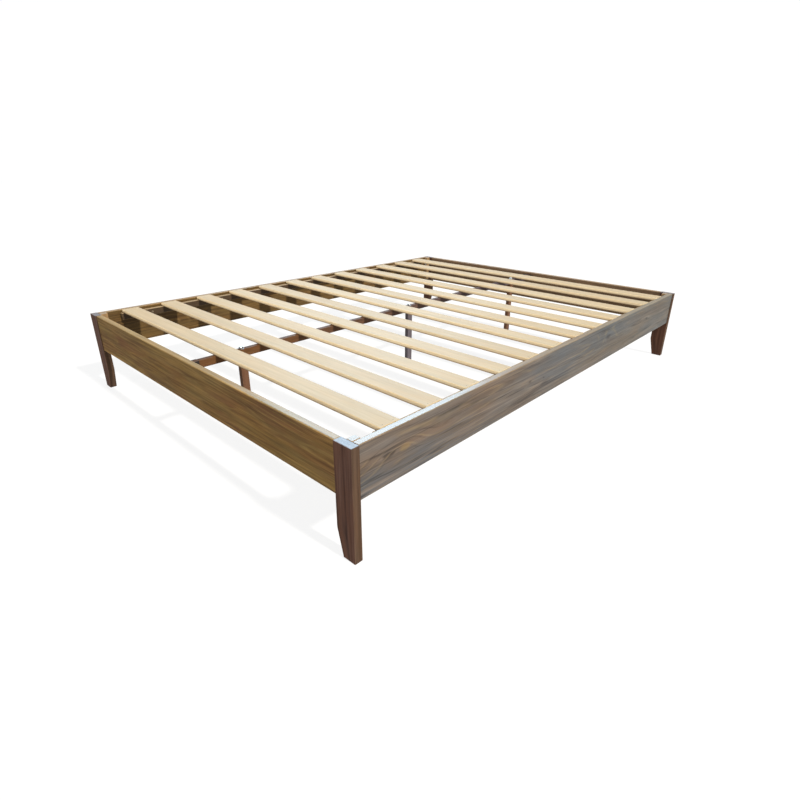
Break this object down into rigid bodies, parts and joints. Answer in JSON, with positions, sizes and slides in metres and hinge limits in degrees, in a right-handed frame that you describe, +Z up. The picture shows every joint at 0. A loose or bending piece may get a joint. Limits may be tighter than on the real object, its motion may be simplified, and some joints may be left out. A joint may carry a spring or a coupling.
{
  "type": "slatted bed frame",
  "caption": "Low wooden bed frame: flat tapered corner legs, recessed rails, pale cross slats on ledgers, and a central support rail on its own legs.",
  "frame": {"origin": "on the floor, at the centre of the frame's plan", "axes": "+X across the bed to the right-hand side seen from the foot, +Y towards the head end, +Z up"},
  "size_m": [1.58, 2.092, 0.314],
  "materials": {
    "leg_wood": "dark brown stained pine, satin",
    "rail_wood": "mid-brown stained pine with visible grain and knots, satin",
    "block_wood": "mid-brown stained pine batten, satin",
    "slat_wood": "bare planed pine, unstained, matt",
    "ledger_wood": "brown stained pine batten with a paler sawn top and ends, matt",
    "centre_wood": "dark brown stained pine batten, satin",
    "dowel_wood": "bare beech, fluted in reality, smooth here",
    "zinc_steel": "bright zinc plated steel",
    "dark_steel": "dull dark brown finish on pressed straps, screws and nails",
    "insert_brass": "plain turned brass"
  },
  "bodies": {
    "root": {"leg_foot_left": "leg_wood", "leg_foot_right": "leg_wood", "leg_head_left": "leg_wood", "leg_head_right": "leg_wood", "rail_foot": "rail_wood", "rail_head": "rail_wood", "rail_left": "rail_wood", "rail_right": "rail_wood", "block_foot_left": "block_wood", "block_foot_right": "block_wood", "block_head_left": "block_wood", "block_head_right": "block_wood", "ledger_left": "ledger_wood", "ledger_right": "ledger_wood", "centre_rail": "centre_wood", "hanger_foot": "dark_steel", "hanger_head": "dark_steel", "centre_leg_foot": "centre_wood", "centre_leg_middle": "centre_wood", "centre_leg_head": "centre_wood", "slat_01": "slat_wood", "slat_02": "slat_wood", "slat_03": "slat_wood", "slat_04": "slat_wood", "slat_05": "slat_wood", "slat_06": "slat_wood", "slat_07": "slat_wood", "slat_08": "slat_wood", "slat_09": "slat_wood", "slat_10": "slat_wood", "slat_11": "slat_wood", "slat_12": "slat_wood", "corner_dowels": "dowel_wood", "corner_bolts": "zinc_steel", "corner_washers": "zinc_steel", "leg_inserts": "insert_brass", "block_screws": "dark_steel", "ledger_screws": "dark_steel", "slat_nails": "dark_steel", "hanger_screws": "dark_steel", "coach_screws": "zinc_steel", "coach_washers": "zinc_steel"}
  },
  "joints": []
}
